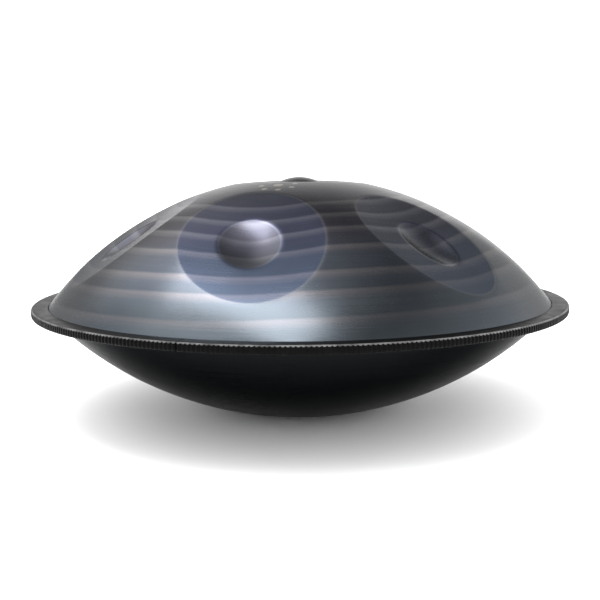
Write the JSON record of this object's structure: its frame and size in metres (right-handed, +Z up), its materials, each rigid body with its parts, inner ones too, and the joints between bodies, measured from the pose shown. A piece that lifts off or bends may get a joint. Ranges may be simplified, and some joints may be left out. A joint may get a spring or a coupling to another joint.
{
  "type": "handpan",
  "caption": "Lens-shaped steel hand drum: a hammered upper dome with dimpled oval notes, a plain lower bowl with a round port, and a ribbed rubber edge trim.",
  "frame": {"origin": "centre of the flat ring round the port that the instrument stands on, which is the middle of the underside", "axes": "+Z up along the axis of both bowls, through the centre note; -Y towards the front, which is the side seen in the picture; +X to the right of it"},
  "size_m": [0.54, 0.54, 0.2349],
  "materials": {
    "blued_steel": "nitrided and heat-blued steel with turned heat lines, satin",
    "dark_steel": "nitrided steel, near-black blue, satin",
    "adhesive": "cured structural adhesive, matt",
    "rubber": "black rubber with fine cross ribs on its outer face, matt",
    "zinc_steel": "thin galvanised strip"
  },
  "bodies": {
    "root": {"top_shell": "blued_steel", "bottom_shell": "dark_steel", "rim_adhesive": "adhesive", "edge_trim": "rubber", "trim_core": "zinc_steel"}
  },
  "joints": []
}
